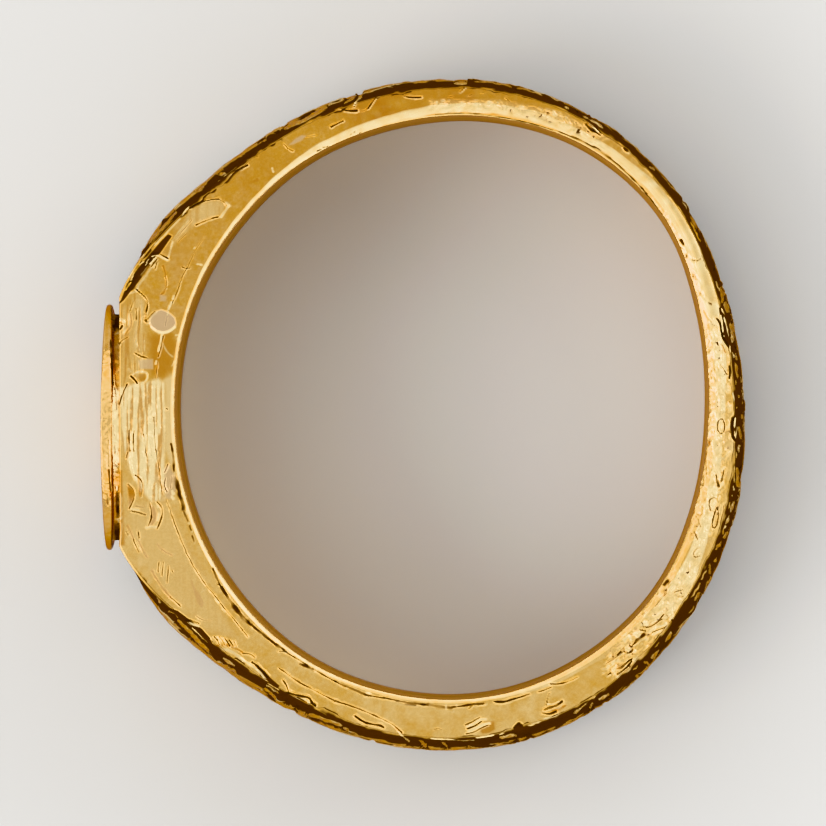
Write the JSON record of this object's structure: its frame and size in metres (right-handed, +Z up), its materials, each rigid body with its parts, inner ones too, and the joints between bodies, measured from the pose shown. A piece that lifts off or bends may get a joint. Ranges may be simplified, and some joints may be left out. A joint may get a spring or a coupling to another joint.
{
  "type": "gold signet ring",
  "caption": "Gold finger ring with a tapered domed hoop, widened shoulders in raised leaf and scroll work, and a flat oval bezel plate on a short collar.",
  "frame": {"origin": "middle of the ring's own box, on the surface that it lies on", "axes": "+Z up, out of the surface; the bezel faces -X and slightly up, and the back of the hoop is at +X; the finger axis leans from +Z towards +X by 6.7 degrees, because the tapered hoop lies on one side face; +Y across the finger"},
  "size_m": [0.023, 0.0236, 0.01],
  "materials": {
    "gold": "worn polished gold"
  },
  "bodies": {
    "root": {"signet_ring": "gold"}
  },
  "joints": []
}
